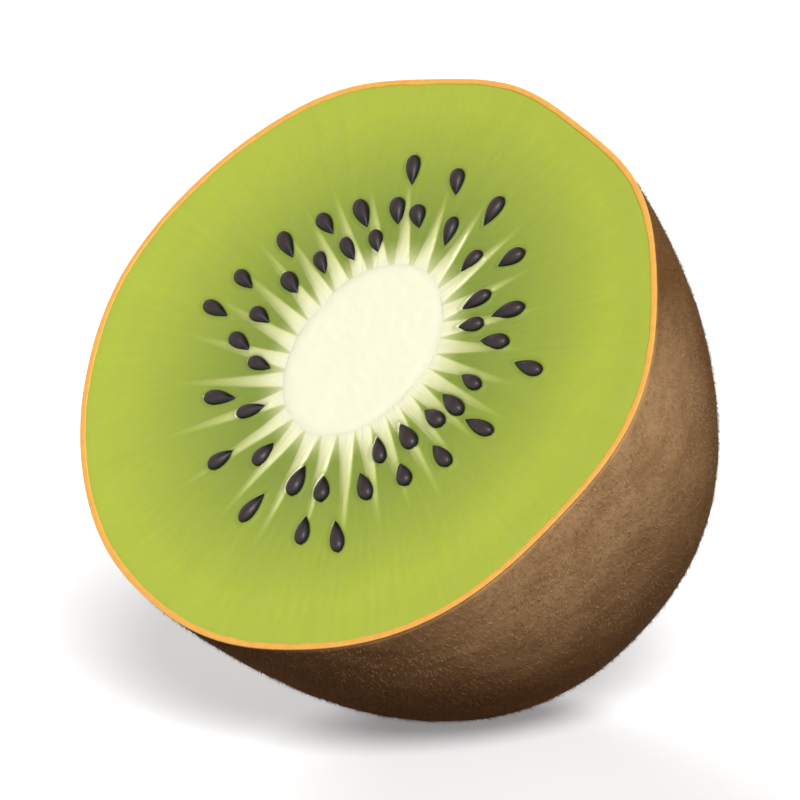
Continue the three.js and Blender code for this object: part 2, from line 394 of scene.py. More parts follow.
class Wire:
    """A socket of a material's nodes. Sums written with it add the nodes that work them out."""

    def __init__(self, paint, socket):
        self.paint = paint
        self.socket = socket

    def __add__(self, other):
        return self.paint.sum("ADD", self, other)

    def __radd__(self, other):
        return self.paint.sum("ADD", other, self)

    def __sub__(self, other):
        return self.paint.sum("SUBTRACT", self, other)

    def __rsub__(self, other):
        return self.paint.sum("SUBTRACT", other, self)

    def __mul__(self, other):
        return self.paint.sum("MULTIPLY", self, other)

    def __rmul__(self, other):
        return self.paint.sum("MULTIPLY", other, self)

    def __pow__(self, other):
        return self.paint.sum("POWER", self, other)


class Paint:
    """A material in the making."""

    def __init__(self, name):
        self.material = bpy.data.materials.new(name)
        self.material.use_nodes = True
        self.tree = self.material.node_tree
        self.tree.nodes.clear()
        self.shader = self.tree.nodes.new("ShaderNodeBsdfPrincipled")
        output = self.tree.nodes.new("ShaderNodeOutputMaterial")
        self.tree.links.new(self.shader.outputs["BSDF"], output.inputs["Surface"])

    def node(self, kind, settings, sockets, output=0):
        """A node of any kind: its settings first, then its sockets, by name or number."""
        node = self.tree.nodes.new(kind)
        for name, value in settings.items():
            setattr(node, name, value)
        for name, value in sockets.items():
            self.feed(node.inputs[name], value)
        return Wire(self, node.outputs[output])

    def feed(self, socket, value):
        """Links a wire to a socket, or sets the socket's own value."""
        if isinstance(value, Wire):
            self.tree.links.new(value.socket, socket)
        elif socket.type == "RGBA":
            socket.default_value = (*tuple(value)[:3], 1.0)
        else:
            socket.default_value = value

    def sum(self, operation, *values):
        """A Math node of numbers."""
        return self.node("ShaderNodeMath", {"operation": operation}, dict(enumerate(values)))

    def vectors(self, operation, *values, output="Vector"):
        """A Vector Math node."""
        sockets = dict(enumerate(values))
        return self.node("ShaderNodeVectorMath", {"operation": operation}, sockets, output)

    def outward(self, spot):
        """The direction from the fruit's axis out to a point."""
        return self.vectors("NORMALIZE", self.vectors("MULTIPLY", spot, (1.0, 1.0, 0.0)))

    def mark(self, key, vector=False):
        """A number or a vector that the mesh keeps for each of its points."""
        settings = {"attribute_type": "GEOMETRY", "attribute_name": key}
        return self.node("ShaderNodeAttribute", settings, {}, "Vector" if vector else "Fac")

    def fade(self, value, start, end, kind="SMOOTHSTEP"):
        """0 at the start and before it, 1 at the end and past it, and smooth between."""
        settings = {"interpolation_type": kind, "clamp": True}
        sockets = {"Value": value, "From Min": start, "From Max": end}
        return self.node("ShaderNodeMapRange", settings, sockets)

    def span(self, value, start, end):
        """0 at the start and before it, 1 at the end and past it, straight between."""
        return self.fade(value, start, end, "LINEAR")

    def mix(self, share, first, second, blend="MIX"):
        """Two colours mixed by a share."""
        settings = {"data_type": "RGBA", "blend_type": blend, "clamp_factor": True}
        return self.node("ShaderNodeMix", settings, {0: share, 6: first, 7: second}, 2)

    def grey(self, value):
        """A number as a grey, to multiply a colour by."""
        return self.node("ShaderNodeCombineColor", {}, {0: value, 1: value, 2: value})

    def noise(self, vector, scale, detail=3.0, roughness=0.55):
        """Soft random numbers about 0.5."""
        sockets = {"Vector": vector, "Scale": scale, "Detail": detail, "Roughness": roughness}
        return self.node("ShaderNodeTexNoise", {"noise_dimensions": "3D"}, sockets, "Fac")

    def cells(self, vector, scale):
        """Distances to the nearest of scattered points."""
        sockets = {"Vector": vector, "Scale": scale}
        return self.node("ShaderNodeTexVoronoi", {"feature": "F1"}, sockets, "Distance")

    def bump(self, height, strength, distance_mm):
        """A normal roughened by a height."""
        sockets = {"Height": height, "Strength": strength, "Distance": distance_mm * MM}
        return self.node("ShaderNodeBump", {}, sockets)

    def finish(self, sockets):
        """Sets the surface's own sockets and hands the material over."""
        for name, value in sockets.items():
            self.feed(self.shader.inputs[name], value)
        return self.material


def core_halo(paint, beyond):
    """How pale the flesh is made by the core, by the distance beyond the core's edge."""
    return (1 - paint.span(beyond, HALO_START, HALO_END)) ** HALO_POWER


def pale_shade(paint, pale, green, tint, colours):
    """Green flesh turned to the core's cream by a share, through a yellower tint."""
    return paint.mix(pale, green, paint.mix(pale, tint, colours.core))


def paint_flesh(colours):
    """Green flesh, darker in the ring of seeds, with pale rays round a cream core."""
    paint = Paint("flesh")
    spot = paint.mark("fruit", vector=True)
    beyond = paint.mark("beyond")
    outward = paint.outward(spot)
    streaks = paint.noise(outward, 34.0, 2.0)  # the same all the way outward
    broad = paint.noise(outward, 7.0, 2.0)
    grain = paint.noise(spot, 2.6, 3.0)

    lighter = paint.span(beyond, DEEP_END, LIGHT_START) ** LIGHT_POWER
    green = paint.mix(lighter, colours.flesh_deep, colours.flesh)
    green = paint.mix(1.0, green, paint.grey(0.93 + streaks * 0.08 + broad * 0.06), "MULTIPLY")
    halo = core_halo(paint, beyond + grain * 0.4 - 0.2)
    shade = pale_shade(paint, halo, green, HALO_TINT, colours)
    shade = pale_shade(paint, paint.mark("ray"), shade, RAY_TINT, colours)
    well = paint.mark("well")
    shade = paint.mix(well * 0.35, shade, tuple(c * 0.55 for c in colours.flesh_deep))

    height = streaks * 0.5 + grain * 0.5
    wet = paint.noise(spot, 0.55, 2.0)
    return paint.finish({
        "Base Color": shade,
        "Roughness": 0.34 + grain * 0.2,
        "Coat Weight": 0.25 + paint.fade(wet, 0.42, 0.6) * 0.45,
        "Coat Roughness": 0.16,
        "Subsurface Weight": 0.22,
        "Subsurface Radius": (1.0, 1.0, 0.35),
        "Subsurface Scale": 1.3 * MM,
        "Normal": paint.bump(height, 0.35, 0.08),
    })


def paint_core(colours):
    """Cream pith with a fine grain, greener where it meets the flesh."""
    paint = Paint("core")
    spot = paint.mark("fruit", vector=True)
    grain = paint.noise(spot, 3.4, 3.0)
    broad = paint.noise(spot, 0.5, 2.0)
    shade = paint.mix(paint.fade(broad, 0.35, 0.75) * 0.15, colours.core, CORE_PATCH)
    edge = core_halo(paint, paint.mark("beyond") + grain * 0.4 - 0.2)
    greener = pale_shade(paint, edge, colours.flesh_deep, HALO_TINT, colours)
    shade = paint.mix(1 - edge, shade, greener)
    return paint.finish({
        "Base Color": shade,
        "Roughness": 0.42 + grain * 0.18,
        "Coat Weight": 0.25,
        "Coat Roughness": 0.2,
        "Subsurface Weight": 0.2,
        "Subsurface Radius": (1.0, 0.95, 0.7),
        "Subsurface Scale": 1.5 * MM,
        "Normal": paint.bump(grain, 0.2, 0.08),
    })


def painted_skin_shade(paint, spot, shade, most):
    """A skin colour with painted shade: darker toward the blossom end, under the cut, on flanks."""
    down = (0.0, 0.0, -1 / FRUIT_DEPTH)
    depth = paint.vectors("DOT_PRODUCT", spot, down, output="Value")
    share = paint.fade(depth, PAINTED_SHADE_START, PAINTED_SHADE_FULL)
    share = share + (1 - paint.span(depth, 0.0, PAINTED_SHADE_AT_CUT_DEPTH)) * PAINTED_SHADE_AT_CUT
    below = paint.span(depth, 0.0, PAINTED_SHADE_FURTHER_DOWN)
    outward = paint.outward(spot)
    for angle, start, end, at_cut, further in PAINTED_SHADE_FLANKS:
        turn = math.radians(angle)
        towards = (math.cos(turn), math.sin(turn), 0.0)
        near = paint.vectors("DOT_PRODUCT", outward, towards, output="Value")
        share = share + paint.fade(near, start, end) * (at_cut + below * (further - at_cut))
    share = paint.sum("MINIMUM", share, 1.0) * most
    return paint.mix(1.0, shade, paint.mix(share, (1.0, 1.0, 1.0), PAINTED_SHADE_COLOUR), "MULTIPLY")


def paint_skin(colours):
    """Leathery brown skin: mottled, with dark pores and painted shade."""
    paint = Paint("skin")
    spot = paint.mark("fruit", vector=True)
    mottle = paint.noise(spot, 0.22, 4.0)
    fine = paint.noise(spot, 1.9, 4.0, 0.65)
    pores = paint.cells(spot, 0.85)
    light = paint.fade(mottle * 0.55 + fine * 0.45, 0.36, 0.64)
    shade = paint.mix(light, colours.skin_dark, colours.skin)
    shade = paint.mix((1 - paint.fade(pores, 0.05, 0.3)) * 0.2, shade, PORE)
    # painted shade: darker toward the blossom end, just under the cut and on some flanks
    shade = painted_skin_shade(paint, spot, shade, 1.0)
    height = fine * 0.7 + paint.fade(pores, 0.0, 0.35) * 0.4
    return paint.finish({
        "Base Color": shade,
        "Roughness": 0.8 + fine * 0.15,
        "Specular IOR Level": 0.06,
        "Normal": paint.bump(height, 0.4, 0.1),
    })


def paint_edge(colours):
    """The skin's cut edge: golden and a little moist."""
    paint = Paint("skin_edge")
    spot = paint.mark("fruit", vector=True)
    fine = paint.noise(spot, 1.6, 3.0)
    shade = paint.mix(paint.fade(fine, 0.3, 0.75) * 0.3, colours.edge, EDGE_FLECK)
    return paint.finish({
        "Base Color": shade,
        "Roughness": 0.5 + fine * 0.2,
        "Subsurface Weight": 0.1,
        "Subsurface Radius": (1.0, 0.7, 0.3),
        "Subsurface Scale": 0.5 * MM,
        "Normal": paint.bump(fine, 0.3, 0.05),
    })


def paint_hair(colours):
    """Fuzz: tan hairs, each a little lighter or darker, pale at the tip, with painted shade."""
    paint = Paint("fuzz")
    tone = paint.mark("tone")
    tip = paint.mark("tip")
    shade = paint.mix(tone, tuple(c * 0.75 for c in colours.hair), colours.hair)
    shade = paint.mix(tip * 0.4, shade, HAIR_TIP)
    # the skin's painted shade, a little weaker, darkens the hairs too
    shade = painted_skin_shade(paint, paint.mark("fruit", vector=True), shade, 0.85)
    return paint.finish({
        "Base Color": shade,
        "Roughness": 0.7,
        "Specular IOR Level": 0.08,
    })


def paint_seed(colours):
    """Glossy black seed coats, brown where the coat is thin, and painted shade below the crown."""
    paint = Paint("seed")
    spot = paint.mark("fruit", vector=True)
    fine = paint.noise(spot, 4.5, 3.0)
    broad = paint.noise(spot, 1.1, 1.0)
    shade = paint.mix(paint.fade(broad, 0.45, 0.7) * 0.5, colours.seed, SEED_BROWN)
    # painted shade: near black below the seed's crown, the coat's own colour on top
    shade = paint.mix(paint.fade(paint.mark("crown"), 0.35, 0.95), SEED_PAINTED_SHADE, shade)
    return paint.finish({
        "Base Color": shade,
        "Roughness": 0.42 + fine * 0.15,
        "Specular IOR Level": 0.2,
        "Coat Weight": 0.25,
        "Coat Roughness": 0.14,
        "Normal": paint.bump(fine, 0.25, 0.04),
    })


def paint_dry(colours):
    """Dried brown remains of the flower."""
    paint = Paint("blossom_end")
    spot = paint.mark("fruit", vector=True)
    fine = paint.noise(spot, 3.0, 4.0, 0.65)
    shade = paint.mix(paint.fade(fine, 0.35, 0.7), colours.dry, DRY_FLECK)
    return paint.finish({
        "Base Color": shade,
        "Roughness": 0.9,
        "Specular IOR Level": 0.08,
        "Normal": paint.bump(fine, 0.7, 0.15),
    })


def paint_floor():
    """A plain pale floor."""
    paint = Paint("floor")
    spot = paint.node("ShaderNodeTexCoord", {}, {}, "Object")
    soft = paint.noise(spot, 2.0, 1.0)
    shade = paint.mix(soft, (0.9, 0.9, 0.9), (0.92, 0.92, 0.92))
    return paint.finish({
        "Base Color": shade,
        "Roughness": 0.9,
        "Emission Color": (1.0, 1.0, 1.0),
        "Emission Strength": 0.24,
    })


# ---- the pieces ----


def seeds():
    """Middle, heading, length and width of every seed, in the plane of the cut."""
    for index in range(SEED_COUNT):
        even = math.radians(SEED_START + 360 / SEED_COUNT * (index + pick(SEED_SWAY, index)))
        angle = even + math.radians(waves(SEED_CROWD, even))
        middle = np.array(core_point(angle, pick(SEED_BAND, index)))
        turn = angle + math.radians(waves(LEANS, angle) + pick(SEED_TWIST, index))
        yield middle, turn, pick(SEED_LENGTH, index), pick(SEED_WIDTH, index)


def teardrop(share):
    """Half width of a seed at a share of its length from the tip, as a share of its widest."""
    widest = 2 / 3 * math.sqrt(1 / 3)  # of the curve share * sqrt(1 - share)
    return share * np.sqrt(np.clip(1 - share, 0, None)) / widest


def seed_distance(x, y):
    """Distance of points from the nearest seed's edge in the cut, negative inside a seed."""
    nearest = np.full(x.shape, 1e9)
    for middle, turn, length, width in seeds():
        along = (x - middle[0]) * math.cos(turn) + (y - middle[1]) * math.sin(turn)
        aside = np.abs(-(x - middle[0]) * math.sin(turn) + (y - middle[1]) * math.cos(turn))
        share = np.clip(along / length + 0.5, 0.02, 0.98)
        half = teardrop(share) * width / 2
        over = np.abs(along) - length / 2
        distance = np.where(over > 0, np.hypot(over, np.clip(aside - half, 0, None)), aside - half)
        nearest = np.minimum(nearest, distance)
    return nearest


def rays():
    """Foot, heading and length of every ray, in the plane of the cut."""
    for index in range(RAY_COUNT):
        even = math.radians(RAY_START + 360 / RAY_COUNT * index)
        angle = even + math.radians(waves(RAY_CROWD, even))
        slant = math.cos(angle - math.radians(RAY_SLANT_TOWARDS)) * RAY_SLANT
        spread = (wrapped(index * RAY_SPREAD_STEP) - 0.5) * RAY_SPREAD
        turn = angle + math.radians(waves(LEANS, angle))
        yield core_point(angle), turn, RAY_REACH + slant + spread


def ray_marks(x, y):
    """How pale the rays make points of the cut, and the share of a ridge's height there.

    The paleness runs on a little past the end of the ridge.
    """
    pale, ridge = np.zeros(x.shape), np.zeros(x.shape)
    for foot, turn, length in rays():
        cos, sin = math.cos(turn), math.sin(turn)
        run = ((x - foot[0]) * cos + (y - foot[1]) * sin + RAY_ROOT) / (length + RAY_ROOT)
        aside = np.abs((y - foot[1]) * cos - (x - foot[0]) * sin)
        ahead = run > -0.2  # not on the other side of the core
        left = np.clip(1 - run, 0, 1) * ahead
        far = np.clip(1 - run / RAY_FADE, 0, 1) * ahead
        inside = smooth_step(RAY_WIDTH / 2 * far - aside, -0.08, 0.08)
        pale = np.maximum(pale, inside * far**RAY_PALENESS)
        half = RAY_WIDTH / 2 * left + 1e-6
        ridge = np.maximum(ridge, np.clip(1 - (aside / half) ** 1.5, 0, 1) * left)
    return pale, ridge


def flesh_height(flat, angle, reach, gap, ridge, locule_depth):
    """How far the flesh rises above its plain level, by the rays, seeds and core near by."""
    beyond = reach - core_edge(angle)
    rise = RAY_HEIGHT * ridge * smooth_step(beyond, -0.2, 1.2)
    sunk = smooth_step(beyond, *LOCULES_FROM) * (1 - smooth_step(beyond, *LOCULES_TO))
    rise -= locule_depth * sunk * (1 - smooth_step(ridge, 0.0, 0.4))
    rise += SEED_LIP * np.exp(-(((gap - SEED_LIP_OUT) / SEED_LIP_WIDTH) ** 2))
    rise -= SEED_POCKET_DEPTH * (1 - smooth_step(gap, -0.3, 0.05))
    rise += CORE_COLLAR * (1 - smooth_step(beyond, 0, CORE_COLLAR_WIDTH))
    rise -= 0.25 * (1 - smooth_step(beyond, -CORE_LAP, -0.15))  # passes under the core's rim
    rise += relief(flat, *FLESH_BUMPS)
    cos, sin = np.cos(angle) + 0 * reach, np.sin(angle) + 0 * reach
    stretched = np.stack([cos * 60, sin * 60, reach], -1)  # long outward, narrow across
    return rise + relief(stretched, *FLESH_STREAKS)


def flesh_piece(sizes, colours):
    """The green flesh: a dense face, closed by a plain pocket and side out of sight."""
    around, face_rows, wall_rows, side_rows = 672, 130, 5, 14
    hidden = sizes.edge_width / MM - 0.02  # the flesh's side lies this far inside the skin's
    angle = np.linspace(0, math.tau, around, endpoint=False)
    inner = core_edge(angle) - CORE_LAP
    outer = np.full_like(angle, FRUIT_RADIUS)
    for _ in range(6):  # closes in on the skin's inner wall
        x, y = CORE_X + outer * np.cos(angle), CORE_Y + outer * np.sin(angle)
        outer += (FRUIT_RADIUS - hidden) * waviness(np.arctan2(y, x), 0) - np.hypot(x, y)
    share = np.linspace(0, 1, face_rows)[:, None] ** 1.15  # rows crowd toward the core
    reach = inner + (outer - inner) * share
    reach = np.concatenate([reach, outer[None] + RIM_TUCK])
    x, y = CORE_X + reach * np.cos(angle), CORE_Y + reach * np.sin(angle)
    gap = seed_distance(x, y)
    pale, ridge = ray_marks(x, y)
    flat = np.stack([x, y, 0 * x], -1)
    rise = flesh_height(flat, angle, reach, gap, ridge, sizes.locule_depth / MM)
    meet = smooth_step(outer - reach, 0.0, RIM_RISE_WIDTH)
    z = -FLESH_SINK + rise * meet + RIM_RISE * (1 - meet)
    z[-1] -= RIM_TUCK_DROP
    face = np.stack([x, y, z], -1)

    depth = np.linspace(1, 0, wall_rows + 1)[:-1, None] ** 1.5
    narrow = taper(depth, CORE_ALONG, CORE_ACROSS) * inner
    pocket = np.stack([
        CORE_X + narrow * np.cos(angle),
        CORE_Y + narrow * np.sin(angle),
        -CORE_DEPTH * depth - 2 * CORE_LAP + 0 * narrow,
    ], -1)[1:]
    about = np.arctan2(y[-1], x[-1])
    shares = even_shares(side_rows, FRUIT_RADIUS, FRUIT_DEPTH, SIDE_ALONG, SIDE_ACROSS, 0.01)
    side = side_point(about[None, :], shares[:-1, None], hidden)
    rings = np.concatenate([pocket, face, side])
    start = [CORE_X, CORE_Y, -CORE_DEPTH]
    points, faces = closed_rings(start, rings, [0, 0, -FRUIT_DEPTH + sizes.edge_width / MM])
    first = 1 + len(pocket) * around
    near_seed = 1 - smooth_step(gap, 0.0, 0.45)
    marks = {"well": near_seed, "ray": pale, "beyond": reach - core_edge(angle)}
    for key, values in marks.items():
        marks[key] = np.zeros(len(points))
        marks[key][first : first + values.size] = values.ravel()
    add_piece("flesh", points, faces, paint_flesh(colours), "flesh", marks)


def core_piece(colours):
    """The pale core: a grained top, closed by a plain tapering column out of sight."""
    around, top_rows, side_rows = 240, 46, 10
    angle = np.linspace(0, math.tau, around, endpoint=False)
    share = np.linspace(1 / top_rows, 1, top_rows)[:, None]
    reach = (core_edge(angle) + CORE_RIM) * share
    x, y = CORE_X + reach * np.cos(angle), CORE_Y + reach * np.sin(angle)
    flat = np.stack([x, y, 0 * x], -1)
    lift = relief(flat, *CORE_BUMPS) + relief(flat, *CORE_GRAIN)
    beyond = reach - core_edge(angle)
    flesh_top = -FLESH_SINK + CORE_COLLAR
    z = flesh_top + (CORE_TOP + lift - flesh_top) * (1 - smooth_step(beyond, -1.0, CORE_RIM))
    z -= CORE_RIM_DIP * smooth_step(beyond, -0.1, CORE_RIM)
    top = np.stack([x, y, z], -1)
    depth = np.linspace(0, 1, side_rows + 2)[1:-1, None]
    narrow = core_edge(angle) * taper(depth, CORE_ALONG, CORE_ACROSS) - 0.01
    side = np.stack([
        CORE_X + narrow * np.cos(angle),
        CORE_Y + narrow * np.sin(angle),
        -CORE_DEPTH * depth + 0 * narrow,
    ], -1)
    rings = np.concatenate([top, side])
    start = [CORE_X, CORE_Y, CORE_TOP + lift[0].mean()]
    points, faces = closed_rings(start, rings, [CORE_X, CORE_Y, -CORE_DEPTH])
    marks = {"beyond": np.full(len(points), -CORE_HALF_WIDTH)}
    marks["beyond"][1 : 1 + beyond.size] = beyond.ravel()
    add_piece("core", points, faces, paint_core(colours), "core", marks)


def seed_piece(colours):
    """All the seeds, each half sunk in its pocket with its tip toward the core."""
    around, rows = 20, 14
    share = (1 - np.cos(np.linspace(0, math.pi, rows + 2)))[1:-1] / 2
    roll = np.linspace(0, -math.tau, around, endpoint=False)
    points, faces, crowns = [], [], []
    first = 0
    for middle, turn, length, width in seeds():
        half = teardrop(share)[:, None] * width / 2
        along = (share - 0.5)[:, None] * length + 0 * roll
        local = np.stack([along, half * np.cos(roll), half * np.sin(roll) * SEED_THICKNESS], -1)
        ends = np.array([[-length / 2, 0, 0], [length / 2, 0, 0]])
        drop, drop_faces = closed_rings(ends[0], local, ends[1])
        cos, sin = math.cos(turn), math.sin(turn)
        turned = drop @ np.array([[cos, sin, 0], [-sin, cos, 0], [0, 0, 1]])
        turned += np.array([*middle, -FLESH_SINK - SEED_SINK])
        faces += [[first + corner for corner in face] for face in drop_faces]
        first += len(drop)
        points.append(turned)
        # how high on its seed a point lies, for the painted shade below the crown
        crowns.append(drop[:, 2] / (width / 2 * SEED_THICKNESS))
    points, marks = np.concatenate(points), {"crown": np.concatenate(crowns)}
    add_piece("seeds", points, faces, paint_seed(colours), "flesh", marks)


def skin_piece(sizes, colours):
    """The brown skin: a thin leathery shell from just under its cut edge to the blossom end."""
    around, rows, inner_rows = 420, 150, 18
    thickness = sizes.edge_width / MM
    angle = np.linspace(0, math.tau, around, endpoint=False)[None, :]
    start = SKIN_START / FRUIT_DEPTH
    shares = even_shares(rows, FRUIT_RADIUS, FRUIT_DEPTH, SIDE_ALONG, SIDE_ACROSS, start)[:-1, None]
    outer = side_point(angle, shares)
    out = np.hypot(outer[..., 0], outer[..., 1])
    fade = smooth_step(-outer[..., 2], 0.2, 1.5) * smooth_step(out, 0, 2)
    bumps = relief(outer, *SKIN_BUMPS) + relief(outer, *SKIN_SWELLS)
    lift = sizes.skin_relief / MM * bumps * fade
    near_end = np.exp(-(((out - PUCKER_RADIUS) / PUCKER_WIDTH) ** 2)) * (shares > 0.9)
    lift += near_end * PUCKER_HEIGHT * (np.cos(PUCKERS * angle + np.sin(3 * angle)) - 0.5)
    outer = outer + side_normal(angle, shares) * lift[..., None]
    inner = side_point(angle, shares[::-1][:: rows // inner_rows], thickness)
    lip = [side_point(angle, np.array([[0.0]]), inset) for inset, _ in SKIN_LIP]
    for ring, (_, height) in zip(lip, SKIN_LIP):
        ring[..., 2] = height
    rings = np.concatenate([inner, *lip, outer])
    top = -FRUIT_DEPTH
    points, faces = closed_rings([0, 0, top + thickness], rings, [0, 0, top])
    add_piece("skin", points, faces, paint_skin(colours), "flesh")


def edge_piece(sizes, colours):
    """The skin's cut edge: a slightly uneven golden ring round the face."""
    around = 540
    angle = np.linspace(0, math.tau, around, endpoint=False)
    here = np.stack([np.cos(angle), np.sin(angle), 0 * angle], -1) * FRUIT_RADIUS
    uneven = relief(here, *EDGE_WOBBLE)
    lift = relief(here, *EDGE_LIFT)
    width = sizes.edge_width / MM
    section = (  # inset from the outside, height
        (0.2, -0.9), (0.2, -0.21), (0.03, -0.19), (0.0, -0.17), (0.0, -0.05), (0.01, -0.01),
        (0.03, 0.0), (0.09, 0.005), (width * 0.5, 0.008), (width - 0.09, 0.005),
        (width - 0.03, -0.005), (width, -0.04), (width, -0.3), (width, -0.9),
    )
    rings = []
    for inset, height in section:
        wobble = uneven * (inset > width / 2)
        radius = (FRUIT_RADIUS - inset + wobble) * waviness(angle, 0)
        raised = height + lift * (height > -0.05)
        rings.append(np.stack([radius * np.cos(angle), radius * np.sin(angle), raised], -1))
    rings.append(rings[0])
    rings = np.array(rings)[::-1]
    count = len(section)
    points = rings[:count].reshape(-1, 3)
    faces = ring_faces(count + 1, around) % (count * around)
    add_piece("skin_edge", points, faces.tolist(), paint_edge(colours), "flesh")


def spikes(root, tip, width):
    """Three-sided spikes, each closed by its foot: four points and four faces a spike."""
    heading = tip - root
    aside = np.cross(heading, np.roll(heading, 1, axis=-1) + (0.1, 0.2, 0.3))
    aside /= np.linalg.norm(aside, axis=-1, keepdims=True)
    over = np.cross(heading, aside)
    over /= np.linalg.norm(over, axis=-1, keepdims=True)
    feet = []
    for turn in range(3):
        roll = math.tau * turn / 3
        feet.append(root + (aside * math.cos(roll) + over * math.sin(roll)) * width[:, None] / 2)
    first = np.arange(len(root))[:, None] * 4
    sides = ((0, 1, 3), (1, 2, 3), (2, 0, 3), (0, 2, 1))
    faces = np.concatenate([first + np.array(corners) for corners in sides])
    return np.stack([*feet, tip], 1).reshape(-1, 3), faces.tolist()


def fuzz_piece(sizes, colours):
    """Short hairs that lie over the skin, each a three-sided spike."""
    random = np.random.default_rng(51)
    count = sizes.hair_count
    index = np.arange(count)
    start = 0.009  # just under the skin's cut edge
    shares = even_shares(1200, FRUIT_RADIUS, FRUIT_DEPTH, SIDE_ALONG, SIDE_ACROSS, start)
    area = np.cumsum(FRUIT_RADIUS * taper(shares, SIDE_ALONG, SIDE_ACROSS))
    share = np.interp((index + random.uniform(0, 1, count)) / count * area[-1], area, shares)
    angle = math.tau * wrapped(index * GOLDEN_TURN) + random.normal(0, 0.05, count)
    root = side_point(angle, share)
    normal = side_normal(angle, share)
    down = side_point(angle, np.clip(share + 1e-3, 0, 0.9999)) - root
    down /= np.linalg.norm(down, axis=-1, keepdims=True) + 1e-9
    across = np.cross(normal, down)
    swirl = 0.7 * rough(root, 14.0, 52, 2) + random.normal(0, 0.75, count)
    lying = down * np.cos(swirl)[:, None] + across * np.sin(swirl)[:, None]
    lean = random.uniform(0.15, 0.6, count)[:, None]
    length = sizes.hair_length / MM * random.uniform(0.45, 1.0, count)[:, None]
    tip = root + (normal * lean + lying * np.sqrt(1 - lean**2)) * length
    width = sizes.hair_width / MM * random.uniform(0.7, 1.15, count)
    points, faces = spikes(root - normal * 0.05, tip, width)
    tones = np.repeat(random.uniform(0, 1, count), 4)
    marks = {"tone": tones, "tip": np.tile([0, 0, 0, 1.0], count)}
    add_piece("fuzz", points, faces, paint_hair(colours), "flesh", marks)


def blossom_piece(colours):
    """The blossom end: a low scarred button, its ragged scraps and a few dried threads."""
    around, scraps = 144, 7
    angle = np.linspace(0, math.tau, around, endpoint=False)[None, :]
    top = -FRUIT_DEPTH - BUTTON_HEIGHT
    section = np.array([  # radius, height, and how far the scraps reach out
        (0.25, top + BUTTON_PIT_DEPTH, 0.0), (0.6, top + BUTTON_PIT_DEPTH * 0.8, 0.04),
        (0.85, top + 0.08, 0.06), (1.15, top - 0.04, 0.08), (1.5, top, 0.12),
        (BUTTON_TOP_RADIUS, top + 0.14, 0.25), (2.3, top + 0.3, 0.5), (2.5, top + 0.43, 0.85),
        (2.45, -FRUIT_DEPTH + 0.1, 0.75), (2.3, -FRUIT_DEPTH + BUTTON_ROOT, 0.0),
    ])
    plain, level, ragged = section[:, :1], section[:, 1:2], section[:, 2:]
    lobe = (0.5 + 0.5 * np.cos(scraps * angle + 0.5 * np.sin(2 * angle))) ** 1.5
    radius = plain + ragged * lobe
    crease = 0.07 * np.cos(scraps * 2 * angle + 2 * plain) + 0.05 * np.sin(5 * angle + 3 * plain)
    height = level + crease * smooth_step(plain, 0.2, 1.0)
    rings = np.stack([radius * np.cos(angle), radius * np.sin(angle), height], -1)
    start, end = [0, 0, top + BUTTON_PIT_DEPTH], [0, 0, -FRUIT_DEPTH + BUTTON_ROOT]
    points, faces = closed_rings(start, rings, end)
    faces = [face[::-1] for face in faces]

    random = np.random.default_rng(61)
    turn = math.tau * wrapped(np.arange(THREADS) * GOLDEN_TURN)
    way = np.stack([np.cos(turn), np.sin(turn), 0 * turn], -1)
    root = way * random.uniform(0.4, 2.2, (THREADS, 1)) + (0, 0, top + 0.35)
    tip = root + way * random.uniform(0.2, 0.9, (THREADS, 1)) + random.normal(0, 0.3, (THREADS, 3))
    tip[:, 2] = top - random.uniform(0.1, 0.55, THREADS)
    threads, more = spikes(root, tip, np.full(THREADS, THREAD_WIDTH))
    faces += [[len(points) + corner for corner in face] for face in more]
    points = np.concatenate([points, threads])
    add_piece("blossom_end", points, faces, paint_dry(colours), "flesh")


# ---- stage, lights and camera ----


def heading(azimuth, elevation):
    """The direction from the fruit to a place seen at an azimuth and an elevation."""
    a, e = math.radians(azimuth), math.radians(elevation)
    return Vector((math.sin(a) * math.cos(e), -math.cos(a) * math.cos(e), math.sin(e)))


def add_lamp(name, azimuth, elevation, brightness, softness):
    """A wide even light from far off, whose softness is the angle that it fills."""
    lamp = bpy.data.lights.new(name, "SUN")
    lamp.energy = brightness * math.pi  # so that 1 shows a white face at full white
    lamp.angle = math.radians(softness)
    holder = bpy.data.objects.new(name, lamp)
    bpy.context.scene.collection.objects.link(holder)
    back = heading(azimuth, elevation)
    holder.location = back
    holder.rotation_mode = "QUATERNION"
    holder.rotation_quaternion = (-back).to_track_quat("-Z", "Y")


def add_floor():
    """A wide pale bowl: a level floor that curves up into a wall on every side."""
    flat, bend, top = 1.2, 0.9, 2.6  # metres
    around, flat_steps, bend_steps = 96, 8, 16
    profile = [(flat * step / flat_steps, 0.0) for step in range(1, flat_steps + 1)]
    for step in range(1, bend_steps + 1):
        turn = math.pi / 2 * step / bend_steps
        profile.append((flat + bend * math.sin(turn), bend * (1 - math.cos(turn))))
    profile.append((flat + bend, top))
    angle = np.linspace(0, math.tau, around, endpoint=False)
    rings = np.array([
        np.stack([r * np.cos(angle), r * np.sin(angle), 0 * angle + z], -1) for r, z in profile
    ])
    points = np.concatenate([[[0, 0, 0]], rings.reshape(-1, 3)])
    faces = ring_faces(len(profile), around, 1).tolist()
    faces += cap_faces(0, 1 + np.arange(around)).tolist()
    mesh = bpy.data.meshes.new("floor")
    mesh.from_pydata(points.tolist(), [], faces)
    mesh.shade_smooth()
    mesh.materials.append(paint_floor())
    floor = bpy.data.objects.new("floor", mesh)
    bpy.context.scene.collection.objects.link(floor)
    floor.visible_diffuse = False  # the pale floor would light the fruit's shaded underside
    floor.visible_shadow = False  # its rising rim would hold back the lights


